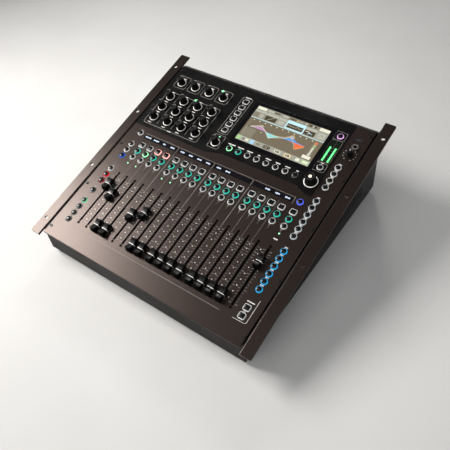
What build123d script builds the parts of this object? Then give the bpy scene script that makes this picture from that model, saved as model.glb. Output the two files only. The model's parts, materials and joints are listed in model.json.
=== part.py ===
from build123d import *
import os
from math import cos, radians, sin

# Rack-mounting digital mixing console with a flat control surface.
# Row frame: +X to the operator's right, +Y to the back, +Z up, millimetres.
# Origin: middle of the footprint, on the desk under the feet.
# Surface frame (x, u, w): u runs up the control surface from its front edge, w is its outward normal.

# ---- driving dimensions -------------------------------------------------------------
TILT = 12.0                  # slope of the control surface
FRONT_HEIGHT = 60.0          # desk to the front edge of the surface
FOOT_HEIGHT = 8.0
SHEET = 1.6                  # folded steel of the case
BODY_HALF_WIDTH = 220.0
PANEL_HALF_WIDTH = 216.5
PANEL_LENGTH = 446.0
PANEL_THICKNESS = 2.0
GLOSS_THICKNESS = 0.8
REAR_OVERHANG = 16.0         # rear plate stands this far behind the surface's back edge

EAR_FRONT = -8.5
EAR_BACK = 472.9
EAR_THICKNESS = 3.0
EAR_OUTER = 241.3            # half of the 19 inch rack width
EAR_HOLE_X = 232.55
EAR_HOLE_R = 3.5
EAR_HOLE_MIDDLE = 232.2      # middle of the hole pattern along the ear
EAR_HOLE_OFFSETS = (-206.4, -73.0, 73.0, 206.4)

CHANNEL_PITCH = 20.02
FIRST_CHANNEL_X = -167.1
GROUP_GAP = 4.14             # extra space after every fourth channel
MASTER_GAP = 22.9
CHANNELS = 16

SLOT_WIDTH = 2.4
SLOT_LOW = 51.0
SLOT_HIGH = 163.0
FADER_SCREWS = (47.1, 166.5)
FADER_BOTTOM = 57.0
FADER_TRAVEL = 100.0
ROD_X, ROD_W, ROD_RADIUS = 2.0, -13.5, 0.8
ROD_CLEARANCE = 0.06
FADER_SET = {1: 79.0, 2: 63.5, 5: 46.5, 6: 60.0, 17: 76.0}   # the rest stand at the bottom

BUTTON_RADIUS = 6.2
SQUARE_BUTTON = (13.0, 12.0)
SQUARE_CORNER = 3.2
BUTTON_TOP = 2.6
BUTTON_GAP = 0.4
BUTTON_FLANGE = 0.55         # flange stands this far outside the cap
BUTTON_STEM_END = -5.0
MUTE_U, SELECT_U, LISTEN_U = 239.6, 224.3, 209.0
LED_U = 193.6
LEFT_X, RIGHT_X, RIGHT_EDGE_X = -189.7, 192.0, 211.5
LEFT_BUTTONS_U = (44, 59, 74, 89, 114, 139, 154, 169, 203, 218, 233, 263)
BLUE_KEYS_U = (94, 109, 124, 139, 154, 169)
LAYER_KEYS_U = (200, 215, 230, 245, 260, 275)
CORNER_KEYS_U = (44, 59)
ASSIGN_KEYS_U = (306, 321, 336, 351)
PROCESS_X = -38.5
PROCESS_KEYS_U = (339, 354, 369, 384, 399, 414)
SCREEN_KEY_X, SCREEN_KEY_PITCH, SCREEN_KEY_U = -6.0, 19.85, 305.5
STRIP_KEY = (168.5, 262.0)
HOME_KEY = (164.0, 413.0)
METER_KEY = (164.0, 338.5)

KNOB_FIRST_X, KNOB_PITCH = -190.0, 34.67
KNOB_ROWS = {"input": 404.5, "upper": 364.0, "middle": 335.7, "lower": 307.5}
KNOB_RADIUS, KNOB_TOP = 7.0, 16.5
SHAFT_RADIUS = 3.0
SHAFT_BORE = 3.05
SHAFT_END = -6.0
BUSHING_RADIUS = 4.5
SIDE_KNOB = (-37.7, 306.0)
ENCODER = (164.3, 306.0)
ENCODER_RADIUS, ENCODER_TOP = 10.0, 17.0
PHONES_KNOB = (197.0, 383.5)
PHONES_JACK = (198.0, 401.5)
USB_SLOT = (196.5, 418.0)
PHONES_KNOB_RADIUS, PHONES_KNOB_TOP = 5.5, 12.0

SCREEN_CENTRE = (67.3, 373.0)
SCREEN_GLASS = (172.0, 103.0)
STRIP_U, STRIP_HEIGHT = 260.0, 9.0
METER_X = (159.5, 170.0)
METER_U, METER_SIZE = 377.0, (5.0, 50.0)
BOARD_TOP = -8.0
PANEL_SCREWS_U = (17.5, 121.5, 226.0, 332.0, 435.0)

REAR_Z = (112.0, 74.0)
INPUT_X = [-194 + 27 * i for i in range(8)]
OUTPUT_X = [24 + 27 * i for i in range(4)]
LINE_JACKS = [(x, z) for x in (130, 148) for z in (114, 94)]
NETWORK_PORTS = [(130, 70), (148, 70)]
POWER_INLET = (190.0, 66.0)
POWER_SWITCH = (190.0, 108.0)
SWITCH_TILT, SWITCH_DEPTH = 8.0, 5.0

# ---- derived places -------------------------------------------------------------------
COS, SIN = cos(radians(TILT)), sin(radians(TILT))
SURFACE_Y = -((EAR_BACK + EAR_FRONT) * COS + EAR_THICKNESS * SIN) / 2
SURFACE = Location((0, SURFACE_Y, FRONT_HEIGHT), (TILT, 0, 0))
BACK_EDGE_Y = SURFACE_Y + PANEL_LENGTH * COS
BACK_EDGE_Z = FRONT_HEIGHT + PANEL_LENGTH * SIN
REAR_Y = BACK_EDGE_Y + REAR_OVERHANG
FRONT_Y = SURFACE_Y + 6.0
FLOOR_Z = FOOT_HEIGHT
REAR_TOP_Z = BACK_EDGE_Z - 8.0


def channel_x(number):
    """X of a channel's slot; the channel after the last one is the master."""
    if number > CHANNELS:
        return channel_x(CHANNELS) + MASTER_GAP
    return FIRST_CHANNEL_X + (number - 1) * CHANNEL_PITCH + (number - 1) // 4 * GROUP_GAP


ALL_CHANNELS = range(1, CHANNELS + 2)
CHANNEL_XS = [channel_x(n) for n in ALL_CHANNELS]
SCREEN_KEYS = [(SCREEN_KEY_X + i * SCREEN_KEY_PITCH, SCREEN_KEY_U) for i in range(8)]
STRIP_SPANS = [(channel_x(4 * g + 1) - 10, channel_x(4 * g + 4) + 10) for g in range(4)]

# Each bank is (shape of its keys, where they stand on the surface).
BUTTON_BANKS = {
    "mute_buttons": ("square", [(x, MUTE_U) for x in CHANNEL_XS]),
    "select_buttons": ("round", [(x, SELECT_U) for x in CHANNEL_XS]),
    "listen_buttons": ("round", [(x, LISTEN_U) for x in CHANNEL_XS]),
    "left_buttons": ("round", [(LEFT_X, u) for u in LEFT_BUTTONS_U]),
    "soft_buttons": ("round", [(RIGHT_X, u) for u in BLUE_KEYS_U]),
    "layer_buttons": ("round", [(RIGHT_X, u) for u in LAYER_KEYS_U] + [STRIP_KEY]),
    "function_buttons": ("square", [(PROCESS_X, u) for u in PROCESS_KEYS_U] +
                         [(RIGHT_X, u) for u in CORNER_KEYS_U]),
    "screen_buttons": ("round", SCREEN_KEYS),
    "assign_buttons": ("round", [(RIGHT_X, u) for u in ASSIGN_KEYS_U] + [HOME_KEY, METER_KEY]),
}

KNOBS = {"side_knob": (SIDE_KNOB, KNOB_RADIUS, KNOB_TOP),
         "main_encoder": (ENCODER, ENCODER_RADIUS, ENCODER_TOP),
         "phones_knob": (PHONES_KNOB, PHONES_KNOB_RADIUS, PHONES_KNOB_TOP)}
for row, knob_u in KNOB_ROWS.items():
    for column in range(4):
        spot = (KNOB_FIRST_X + column * KNOB_PITCH, knob_u)
        KNOBS[f"{row}_knob_{column + 1}"] = (spot, KNOB_RADIUS, KNOB_TOP)


# ---- small helpers ----------------------------------------------------------------------
def block(x0, x1, y0, y1, z0, z1):
    """Box between two corners."""
    centre = ((x0 + x1) / 2, (y0 + y1) / 2, (z0 + z1) / 2)
    return Pos(*centre) * Box(x1 - x0, y1 - y0, z1 - z0)


def post(x, y, radius, z0, z1):
    """Upright round bar from z0 to z1."""
    return Pos(x, y, (z0 + z1) / 2) * Cylinder(radius, z1 - z0)


def rounded(x, y, width, length, corner, z0, z1):
    """Upright bar with a rounded rectangular section."""
    return Pos(x, y, z0) * extrude(RectangleRounded(width, length, corner), amount=z1 - z0)


def key_bar(kind, spot, grow, z0, z1):
    """Section of a round or square key, grown all round."""
    if kind == "round":
        return post(*spot, BUTTON_RADIUS + grow, z0, z1)
    width, length = SQUARE_BUTTON
    return rounded(*spot, width + 2 * grow, length + 2 * grow, SQUARE_CORNER + grow, z0, z1)


def cut_all(body, tools):
    """Cut many tools out of a body in one operation."""
    return body - Compound(children=[tool for tool in tools])


def save(shapes, name, place=Location()):
    """Write one node, as separate solids, in the row frame."""
    solids = [solid for shape in shapes for solid in shape.solids()]
    moved = [solid.moved(place) for solid in solids]
    export_step(moved[0] if len(moved) == 1 else Compound(children=moved), f"parts/{name}.step")


# ---- control surface ----------------------------------------------------------------------
def slot_tools():
    """The fader slots and the screw holes at their ends."""
    middle, length = (SLOT_LOW + SLOT_HIGH) / 2, SLOT_HIGH - SLOT_LOW
    half = SLOT_WIDTH / 2 - 0.01
    slots = [rounded(x, middle, SLOT_WIDTH, length, half, -5, 5) for x in CHANNEL_XS]
    holes = [post(x, u, 1.6, -5, 5) for x in CHANNEL_XS for u in FADER_SCREWS]
    return slots + holes


def key_tools():
    """Clear holes for every key."""
    banks = BUTTON_BANKS.values()
    return [key_bar(kind, spot, BUTTON_GAP, -5, 5) for kind, spots in banks for spot in spots]


def knob_tools():
    """Clear holes for the encoder bushings."""
    return [post(*spot, BUSHING_RADIUS + 0.4, -5, 5) for spot, radius, top in KNOBS.values()]


def socket_tools():
    """Clear holes for the headphone jack and the memory socket in the surface."""
    jack = post(*PHONES_JACK, 5.6, -5, 5)
    usb = block(USB_SLOT[0] - 7, USB_SLOT[0] + 7, USB_SLOT[1] - 3.5, USB_SLOT[1] + 3.5, -5, 5)
    return [jack, usb]


def screen_tool():
    """Opening for the touch screen module."""
    width, length = SCREEN_GLASS
    return rounded(*SCREEN_CENTRE, width + 0.6, length + 0.6, 3.3, -5, 5)


def strip_tools():
    """Windows for the four scribble strip displays."""
    return [block(x0, x1, STRIP_U - STRIP_HEIGHT / 2, STRIP_U + STRIP_HEIGHT / 2, -5, 5)
            for x0, x1 in STRIP_SPANS]


def meter_tools():
    """Windows for the two level meter bars."""
    width, length = METER_SIZE
    return [rounded(x, METER_U, width, length, 0.8, -5, 5) for x in METER_X]


def led_spots():
    """Small indicator lights: one in each channel, one over the side knob."""
    return [(x, LED_U) for x in CHANNEL_XS] + [(SIDE_KNOB[0], SIDE_KNOB[1] + 14.5)]


def control_panel():
    """Bronze steel surface with a folded front lip."""
    top = rounded(0, PANEL_LENGTH / 2, 2 * PANEL_HALF_WIDTH, PANEL_LENGTH, 2.0, -PANEL_THICKNESS, 0)
    top = fillet(top.faces().sort_by(Axis.Z)[-1].edges(), 1.2)
    screws = [post(s * RIGHT_EDGE_X, u, 1.6, -5, 5) for s in (-1, 1) for u in PANEL_SCREWS_U]
    leds = [post(*spot, 1.5, -5, 5) for spot in led_spots()]
    tools = slot_tools() + key_tools() + knob_tools() + socket_tools() + strip_tools() + screws + leds
    panel = cut_all(top, tools + meter_tools() + [screen_tool()])
    save([panel], "control_panel", SURFACE)


def gloss_outline():
    """Black overlay: its lower edge dips round the screen keys and the encoder."""
    left, right, top = -PANEL_HALF_WIDTH + 1.5, 179.0, PANEL_LENGTH - 1.5
    points = [(left, 280.0), (-45.0, 280.0), (-14.0, 289.5), (144.0, 289.5), (163.0, 279.5),
              (right, 279.5), (right, top), (left, top)]
    face = make_face(Polyline(*points, close=True))
    soft = [v for v in face.vertices() if -50 < v.X < 170 and v.Y < 300]
    face = fillet(soft, 28.0)
    square = [v for v in face.vertices() if abs(v.X - left) < 0.1 or abs(v.X - right) < 0.1]
    return fillet(square, 1.5)


def gloss_panel():
    """Gloss black overlay on the upper half of the surface."""
    sheet = extrude(gloss_outline(), amount=GLOSS_THICKNESS)
    over = [tool for tool in key_tools() + knob_tools() if tool.center().Y > 285 and tool.center().X < 185]
    led = post(*led_spots()[-1], 1.5, -5, 5)
    screws = [post(-RIGHT_EDGE_X, u, 3.1, -5, 5) for u in PANEL_SCREWS_U[3:]]
    save([cut_all(sheet, over + meter_tools() + [screen_tool(), led] + screws)], "gloss_panel", SURFACE)


def touch_screen():
    """Cover glass with the display module behind it."""
    width, length = SCREEN_GLASS
    glass = rounded(*SCREEN_CENTRE, width, length, 3.0, -1.0, GLOSS_THICKNESS + 0.4)
    glass = fillet(glass.faces().sort_by(Axis.Z)[-1].edges(), 0.4)
    module = rounded(*SCREEN_CENTRE, width - 7, length - 7, 2.0, -6.0, -1.0)
    save([glass + module], "touch_screen", SURFACE)


def display_windows():
    """Scribble strip lenses, level meter bars and small indicator lenses."""
    half = STRIP_HEIGHT / 2 - 0.2
    strips = [block(x0 + 0.2, x1 - 0.2, STRIP_U - half, STRIP_U + half, -4.0, 0.2) for x0, x1 in STRIP_SPANS]
    meters = [rounded(x, METER_U, METER_SIZE[0] - 0.4, METER_SIZE[1] - 0.4, 0.6, -4.0, GLOSS_THICKNESS)
              for x in METER_X]
    leds = [post(*spot, 1.3, -4.0, 0.5) for spot in led_spots()[:-1]]
    leds.append(post(*led_spots()[-1], 1.3, -4.0, GLOSS_THICKNESS + 0.5))
    save(strips + meters + leds, "display_windows", SURFACE)


# ---- moving controls ------------------------------------------------------------------------
def button_banks():
    """One node for each bank of keys; every key is its own solid."""
    for name, (kind, spots) in BUTTON_BANKS.items():
        keys = []
        for spot in spots:
            cap = key_bar(kind, spot, 0, -2.6, BUTTON_TOP)
            cap = fillet(cap.faces().sort_by(Axis.Z)[-1].edges(), 0.8)
            flange = key_bar(kind, spot, BUTTON_FLANGE, -3.4, -2.4)
            stem = post(*spot, 2.0, BUTTON_STEM_END, -3.0)
            keys.append(cap + flange + stem)
        save(keys, name, SURFACE)


def knob(spot, radius, top):
    """Turned knob with a skirt, on its own shaft."""
    skirt = GLOSS_THICKNESS + 0.7
    points = [(0, skirt), (radius + 0.5, skirt), (radius + 0.5, skirt + 1.6), (radius, skirt + 2.2),
              (radius - 0.7, top - 0.8), (radius - 1.4, top), (0, top)]
    cap = revolve(make_face(Plane.XZ * Polyline(*points, close=True)), Axis.Z)
    shaft = post(0, 0, SHAFT_RADIUS, SHAFT_END, skirt + 1.0)
    return Pos(spot[0], spot[1], 0) * (cap + shaft)


def knobs():
    """Every rotary control is a node of its own."""
    for name, (spot, radius, top) in KNOBS.items():
        save([knob(spot, radius, top)], name, SURFACE)


def fader_cap():
    """Scooped finger cap, 11 mm wide and 26 mm long, centred on its slot."""
    sides = Polyline((8.4, 12.0), (10.9, 11.3), (13.0, 1.4), (-13.0, 1.4), (-10.9, 11.3), (-8.4, 12.0))
    scoop = ThreePointArc((-8.4, 12.0), (0, 8.6), (8.4, 12.0))
    face = Plane.YZ * make_face(sides + scoop)
    cap = extrude(face, amount=5.5, both=True)
    return chamfer(cap.edges().filter_by(Axis.X, reverse=True).group_by(Axis.Z)[-1], 0.6)


def faders():
    """Cap, steel lever and carriage of each fader, standing at its set level."""
    for number in ALL_CHANNELS:
        lever = block(-0.6, 0.6, -3.0, 3.0, -12.0, 3.0)
        carriage = block(-3.4, 3.4, -5.0, 5.0, -16.0, -11.0)
        carriage = cut_all(carriage, [guide_rod(s * ROD_X, -6, 6, ROD_CLEARANCE) for s in (-1, 1)])
        level = FADER_BOTTOM + FADER_SET.get(number, 0.0)
        name = "fader_master" if number > CHANNELS else f"fader_{number}"
        save([Pos(channel_x(number), level, 0) * (fader_cap() + lever + carriage)], name, SURFACE)


def guide_rod(x, low, high, grow):
    """Steel rod along the surface that a carriage runs on."""
    middle = (low + high) / 2
    return Pos(x, middle, ROD_W) * Rot(90, 0, 0) * Cylinder(ROD_RADIUS + grow, high - low)


def fader_mechanisms():
    """Open channel, end blocks and motor of each fader, hung under the surface."""
    tracks = []
    for x in CHANNEL_XS:
        low, high = FADER_SCREWS[0] - 5, FADER_SCREWS[1] + 5
        shell = block(x - 6.2, x + 6.2, low, high, -20.0, -PANEL_THICKNESS)
        hollow = block(x - 4.6, x + 4.6, FADER_BOTTOM - 6, FADER_BOTTOM + FADER_TRAVEL + 6, -18.4, -1.0)
        holes = [post(x, u, 1.25, -12, 0) for u in FADER_SCREWS]
        motor = post(x, high - 10, 7.8, -44.0, -20.0)
        rods = [guide_rod(x + s * ROD_X, low + 2, high - 2, 0) for s in (-1, 1)]
        tracks.append(cut_all(shell, [hollow] + holes) + motor + rods[0] + rods[1])
    save(tracks, "fader_mechanisms", SURFACE)


def power_rocker():
    """Rocker that turns in the switch frame on the rear plate."""
    x, z = POWER_SWITCH
    drum = Rot(0, 90, 0) * Cylinder(8.0, 9.0)
    wings = block(-4.5, 4.5, 0, 9.2, -9.0, 9.0) - Rot(0, 90, 0) * Pos(0, 13.0, 0) * Cylinder(6.0, 12.0)
    rocker = drum + wings
    pivot = Rot(0, 90, 0) * Cylinder(1.0, 12.4)
    save([Pos(x, REAR_Y - SWITCH_DEPTH, z) * Rot(-SWITCH_TILT, 0, 0) * (rocker + pivot)], "power_rocker")


# ---- case ---------------------------------------------------------------------------------
def side_outline(inset):
    """Side view of the case below the surface, moved inwards by inset."""
    under = PANEL_THICKNESS + inset
    front_top = FRONT_HEIGHT - under / COS + (FRONT_Y + inset - SURFACE_Y) * SIN / COS
    back_top = FRONT_HEIGHT - under / COS + (BACK_EDGE_Y - SURFACE_Y) * SIN / COS
    points = [(FRONT_Y + inset, FLOOR_Z + inset), (REAR_Y - SHEET, FLOOR_Z + inset),
              (REAR_Y - SHEET, REAR_TOP_Z - 4.0 - inset), (REAR_Y - 4.4, REAR_TOP_Z - 2.0 - inset),
              (BACK_EDGE_Y, back_top - 0.6), (FRONT_Y + inset, front_top)]
    return make_face(Plane.YZ * Polyline(*points, close=True))


def chassis_tray():
    """Folded tray: floor, front and both sides; its back and top are open."""
    outer = extrude(side_outline(0), amount=BODY_HALF_WIDTH, both=True)
    inner = extrude(side_outline(SHEET), amount=BODY_HALF_WIDTH - SHEET, both=True)
    open_top = Pos(0, 0, 20) * inner
    open_back = Pos(0, 20, 0) * inner
    open_corner = Pos(0, 20, 20) * inner
    vents = [block(-BODY_HALF_WIDTH - 5, BODY_HALF_WIDTH + 5, y, y + 2.6, 34, 58)
             for y in [BACK_EDGE_Y - 150 + 8 * i for i in range(14)]]
    save([cut_all(outer - inner - open_top - open_back - open_corner, vents)], "chassis_tray")


def rear_panel():
    """Folded rear plate: sloping cap behind the surface and the socket plate."""
    cap = [(BACK_EDGE_Y + 0.7, BACK_EDGE_Z - 0.4), (REAR_Y - 3, REAR_TOP_Z + 0.6), (REAR_Y, REAR_TOP_Z - 3),
           (REAR_Y, FLOOR_Z), (REAR_Y - SHEET, FLOOR_Z), (REAR_Y - SHEET, REAR_TOP_Z - 3.5),
           (REAR_Y - 3.8, REAR_TOP_Z - 1.1), (BACK_EDGE_Y + 0.7, BACK_EDGE_Z - 2.2)]
    plate = extrude(make_face(Plane.YZ * Polyline(*cap, close=True)), amount=BODY_HALF_WIDTH, both=True)
    tools = [rear_bar(x, z, 11.4) for x in INPUT_X + OUTPUT_X for z in REAR_Z]
    tools += [rear_bar(x, z, 5.4) for x, z in LINE_JACKS]
    tools += [rear_box(x, z, 14.4, 12.4) for x, z in NETWORK_PORTS]
    tools += [rear_box(*POWER_INLET, 30.4, 24.4), rear_box(*POWER_SWITCH, 14.4, 24.4)]
    save([cut_all(plate, tools)], "rear_panel")


def rear_bar(x, z, radius, y0=None, y1=None):
    """Round bar along Y through the rear plate."""
    y0 = REAR_Y - 10 if y0 is None else y0
    y1 = REAR_Y + 10 if y1 is None else y1
    return Pos(x, (y0 + y1) / 2, z) * Rot(90, 0, 0) * Cylinder(radius, y1 - y0)


def rear_box(x, z, width, height, y0=None, y1=None):
    """Rectangular bar along Y through the rear plate."""
    y0 = REAR_Y - 10 if y0 is None else y0
    y1 = REAR_Y + 10 if y1 is None else y1
    return block(x - width / 2, x + width / 2, y0, y1, z - height / 2, z + height / 2)


def input_socket(x, z):
    """Three-hole microphone socket with its square flange."""
    body = rear_box(x, z, 25, 30, REAR_Y, REAR_Y + 1.6) + rear_bar(x, z, 11.0, REAR_Y - 18, REAR_Y + 1.6)
    ring = rear_bar(x, z, 9.6, REAR_Y - 8, REAR_Y + 3) - rear_bar(x, z, 8.0, REAR_Y - 8, REAR_Y + 3)
    pins = [rear_bar(x + dx, z + dz, 1.3, REAR_Y - 6, REAR_Y + 3) for dx, dz in ((-4, 2), (4, 2), (0, -4))]
    return cut_all(body, [ring] + pins)


def output_socket(x, z):
    """Cupped output socket with three pins."""
    body = rear_box(x, z, 25, 30, REAR_Y, REAR_Y + 1.6) + rear_bar(x, z, 11.0, REAR_Y - 18, REAR_Y + 1.6)
    cup = body - rear_bar(x, z, 9.4, REAR_Y - 13, REAR_Y + 3)
    pins = [rear_bar(x + dx, z + dz, 1.2, REAR_Y - 13.5, REAR_Y - 4) for dx, dz in ((-4, 2), (4, 2), (0, -4))]
    return cup + pins[0] + pins[1] + pins[2]


def line_jack(x, z):
    """Quarter inch jack with its nut."""
    body = rear_bar(x, z, 5.2, REAR_Y - 24, REAR_Y) + rear_bar(x, z, 7.2, REAR_Y, REAR_Y + 2.4)
    return body - rear_bar(x, z, 3.2, REAR_Y - 22, REAR_Y + 3)


def network_port(x, z):
    """Square network socket."""
    body = rear_box(x, z, 14, 12, REAR_Y - 16, REAR_Y + 0.6)
    return body - rear_box(x, z, 11.8, 8.4, REAR_Y - 13, REAR_Y + 3)


def power_inlet():
    """Mains inlet with three blades in its recess."""
    x, z = POWER_INLET
    body = rear_box(x, z, 40, 26, REAR_Y, REAR_Y + 1.8) + rear_box(x, z, 30, 24, REAR_Y - 20, REAR_Y)
    body = body - rear_box(x, z, 24.6, 17, REAR_Y - 16, REAR_Y + 3)
    for dx, dz in ((-7, -2), (7, -2), (0, 3)):
        body = body + rear_box(x + dx, z + dz, 2, 4, REAR_Y - 16.5, REAR_Y - 6)
    return body


def switch_frame():
    """Open frame that holds the power rocker."""
    x, z = POWER_SWITCH
    frame = rear_box(x, z, 18, 28, REAR_Y, REAR_Y + 1.8) + rear_box(x, z, 14, 24, REAR_Y - 16, REAR_Y)
    bore = Pos(x, REAR_Y - SWITCH_DEPTH, z) * Rot(0, 90, 0) * Cylinder(1.05, 13.0)
    return cut_all(frame, [rear_box(x, z, 9.8, 21, REAR_Y - 14, REAR_Y + 3), bore])


def surface_sockets():
    """Headphone jack and memory socket that come up through the surface."""
    jack = post(*PHONES_JACK, 5.2, -22, 0) + post(*PHONES_JACK, 6.8, 0, 2.2)
    jack = jack - post(*PHONES_JACK, 3.2, -20, 3)
    x, u = USB_SLOT
    shell = block(x - 6.8, x + 6.8, u - 3.3, u + 3.3, -16, 0.6)
    shell = shell - block(x - 6.1, x + 6.1, u - 2.4, u + 2.4, -13, 3)
    tongue = block(x - 5.4, x + 5.4, u + 0.4, u + 1.8, -13.5, -1.0)
    return [jack.moved(SURFACE), (shell + tongue).moved(SURFACE)]


def audio_sockets():
    """Every connector of the console, each a solid of its own."""
    sockets = [input_socket(x, z) for x in INPUT_X for z in REAR_Z]
    sockets += [output_socket(x, z) for x in OUTPUT_X for z in REAR_Z]
    sockets += [line_jack(x, z) for x, z in LINE_JACKS]
    sockets += [network_port(x, z) for x, z in NETWORK_PORTS]
    sockets += [power_inlet(), switch_frame()] + surface_sockets()
    save(sockets, "audio_sockets")


def rack_ears():
    """Folded ear on each side, flush with the surface, with four round rack holes."""
    outer_side = BODY_HALF_WIDTH + EAR_THICKNESS
    for side, name in ((-1, "rack_ear_left"), (1, "rack_ear_right")):
        flange = block(BODY_HALF_WIDTH, EAR_OUTER, EAR_FRONT, EAR_BACK, -EAR_THICKNESS, 0)
        web = block(BODY_HALF_WIDTH, outer_side, 14.0, PANEL_LENGTH - 14, -40.0, -1.0)
        ear = flange + web
        bend = ear.edges().filter_by(Axis.Y).sort_by_distance((BODY_HALF_WIDTH, EAR_HOLE_MIDDLE, 0))[0]
        ear = fillet(bend, 2.0)
        ear = fillet(ear.edges().filter_by(Axis.Z).group_by(Axis.X)[-1], 2.5)
        holes = [post(EAR_HOLE_X, EAR_HOLE_MIDDLE + offset, EAR_HOLE_R, -5, 5) for offset in EAR_HOLE_OFFSETS]
        ear = cut_all(ear, holes)
        save([ear if side > 0 else mirror(ear, Plane.YZ)], name, SURFACE)


def feet():
    """Four rubber feet."""
    spots = [(x, y) for x in (-190, 190) for y in (FRONT_Y + 28, REAR_Y - 32)]
    save([fillet(post(x, y, 9.0, 0, FOOT_HEIGHT).edges().sort_by(Axis.Z)[0], 1.5) for x, y in spots], "feet")


def screws():
    """Panel screws, fader screws and the screws that hold the ears."""
    heads = [post(s * RIGHT_EDGE_X, u, 2.8, 0, 1.4) + post(s * RIGHT_EDGE_X, u, 1.5, -7, 0)
             for s in (-1, 1) for u in PANEL_SCREWS_U]
    heads += [post(x, u, 2.1, 0, 0.5) + post(x, u, 1.2, -9, 0) for x in CHANNEL_XS for u in FADER_SCREWS]
    for side in (-1, 1):
        for u in (40, 223, 406):
            head_x = side * (BODY_HALF_WIDTH + EAR_THICKNESS + 1.1)
            heads.append(Pos(head_x, u, -24) * Rot(0, 90, 0) * Cylinder(4.0, 2.2))
    save([cut_cross(head) for head in heads[:10]] + heads[10:], "screws", SURFACE)


def cut_cross(head):
    """Hexagon recess in a button head."""
    centre = head.center()
    return head - Pos(centre.X, centre.Y, 0.5) * extrude(RegularPolygon(1.3, 6), amount=2)


# ---- inside -----------------------------------------------------------------------------------
def circuit_boards():
    """Control board with its switches and encoders, fader board and main board."""
    thick = 1.6
    upper = block(-212, 212, 184, 440, BOARD_TOP - thick, BOARD_TOP)
    left = block(-212, -176, 30, 184.5, BOARD_TOP - thick, BOARD_TOP)
    right = block(180, 212, 30, 184.5, BOARD_TOP - thick, BOARD_TOP)
    holes = [post(*PHONES_JACK, 5.6, -15, 0), post(*PHONES_KNOB, 2.0, -15, BOARD_TOP - 5)]
    holes.append(block(USB_SLOT[0] - 7, USB_SLOT[0] + 7, USB_SLOT[1] - 3.5, USB_SLOT[1] + 3.5, -20, 0))
    board = cut_all(upper + left + right, holes)
    switches = [block(x - 2.5, x + 2.5, u - 2.5, u + 2.5, BOARD_TOP, -6.5)
                for kind, spots in BUTTON_BANKS.values() for x, u in spots]
    encoders = []
    for (x, u), radius, top in KNOBS.values():
        case = block(x - 5.8, x + 5.8, u - 5.8, u + 5.8, BOARD_TOP, -3.2)
        bushing = post(x, u, BUSHING_RADIUS, -3.2, -0.3)
        encoders.append(case + bushing - post(x, u, SHAFT_BORE, SHAFT_END - 0.5, 1))
    surface_parts = [part.moved(SURFACE) for part in [board] + switches + encoders]
    floor = FLOOR_Z + SHEET + 8
    main = block(-200, 96, REAR_Y - 170, REAR_Y - 26, floor, floor + thick)
    chips = [block(x, x + 24, REAR_Y - 120, REAR_Y - 96, floor + thick, floor + thick + 3)
             for x in (-160, -110, -60, -10, 40)]
    risers = [block(x, x + 8, REAR_Y - 60, REAR_Y - 52, FLOOR_Z + SHEET, floor) for x in (-190, -60, 80)]
    save(surface_parts + [main] + chips + risers, "circuit_boards")


def power_supply():
    """Enclosed supply brick behind the mains inlet."""
    floor = FLOOR_Z + SHEET
    case = block(112, 208, REAR_Y - 150, REAR_Y - 36, floor, floor + 38)
    fins = [block(116, 204, REAR_Y - 146 + 9 * i, REAR_Y - 142 + 9 * i, floor + 34, floor + 40) for i in range(12)]
    save([fillet(cut_all(case, fins).edges().filter_by(Axis.Z), 0.6)], "power_supply")


if __name__ == "__main__":
    os.makedirs("parts", exist_ok=True)
    control_panel()
    gloss_panel()
    touch_screen()
    display_windows()
    button_banks()
    knobs()
    faders()
    fader_mechanisms()
    power_rocker()
    chassis_tray()
    rear_panel()
    audio_sockets()
    rack_ears()
    feet()
    screws()
    circuit_boards()
    power_supply()
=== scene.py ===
"""Looks of the mixing console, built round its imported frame."""
import json
import math

import bmesh
import bpy
from mathutils import Matrix, Vector


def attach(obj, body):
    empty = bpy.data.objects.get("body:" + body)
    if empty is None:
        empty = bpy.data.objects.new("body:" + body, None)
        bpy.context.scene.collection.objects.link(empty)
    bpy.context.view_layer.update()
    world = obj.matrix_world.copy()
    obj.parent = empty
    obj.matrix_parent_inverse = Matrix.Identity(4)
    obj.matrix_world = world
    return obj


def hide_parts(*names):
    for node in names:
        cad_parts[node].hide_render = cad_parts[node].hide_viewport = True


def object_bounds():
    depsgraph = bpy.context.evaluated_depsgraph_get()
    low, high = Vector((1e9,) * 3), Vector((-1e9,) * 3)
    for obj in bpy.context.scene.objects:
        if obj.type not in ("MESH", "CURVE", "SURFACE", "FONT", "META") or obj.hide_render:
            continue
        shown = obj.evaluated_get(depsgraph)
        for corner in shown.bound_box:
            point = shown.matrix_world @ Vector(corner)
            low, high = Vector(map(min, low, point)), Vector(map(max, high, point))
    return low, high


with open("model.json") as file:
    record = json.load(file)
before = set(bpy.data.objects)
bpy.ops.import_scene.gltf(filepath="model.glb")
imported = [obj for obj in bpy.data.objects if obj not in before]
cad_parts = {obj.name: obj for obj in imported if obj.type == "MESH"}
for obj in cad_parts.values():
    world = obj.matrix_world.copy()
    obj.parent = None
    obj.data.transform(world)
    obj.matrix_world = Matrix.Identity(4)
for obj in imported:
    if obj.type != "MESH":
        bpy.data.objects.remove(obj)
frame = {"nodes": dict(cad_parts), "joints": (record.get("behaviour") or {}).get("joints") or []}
nodes = frame["nodes"]
joints = {j["name"]: j for j in frame["joints"]}
cad_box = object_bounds()
MM = 0.001
STATIC = "console"

# ---- surface frame: x across, u up the slope, w out of the surface, in millimetres ----
along = Vector(joints["fader_1_slide"]["axis"]).normalized()
normal = Vector(joints["side_knob_turn"]["axis"]).normalized()
panel_points = [v.co for v in nodes["control_panel"].data.vertices]
front = min(p.dot(along) for p in panel_points)
face = max(p.dot(normal) for p in panel_points)
middle = (min(p.x for p in panel_points) + max(p.x for p in panel_points)) / 2
origin = Vector((middle, 0, 0)) + along * front + normal * face
axes = (Vector((1, 0, 0)), along, normal)
SURFACE = Matrix.Translation(origin) @ Matrix([[a[i] * MM for a in axes] for i in range(3)]).to_4x4()
WORLD = Matrix.Scale(MM, 4)
TO_SURFACE = SURFACE.inverted()


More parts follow.
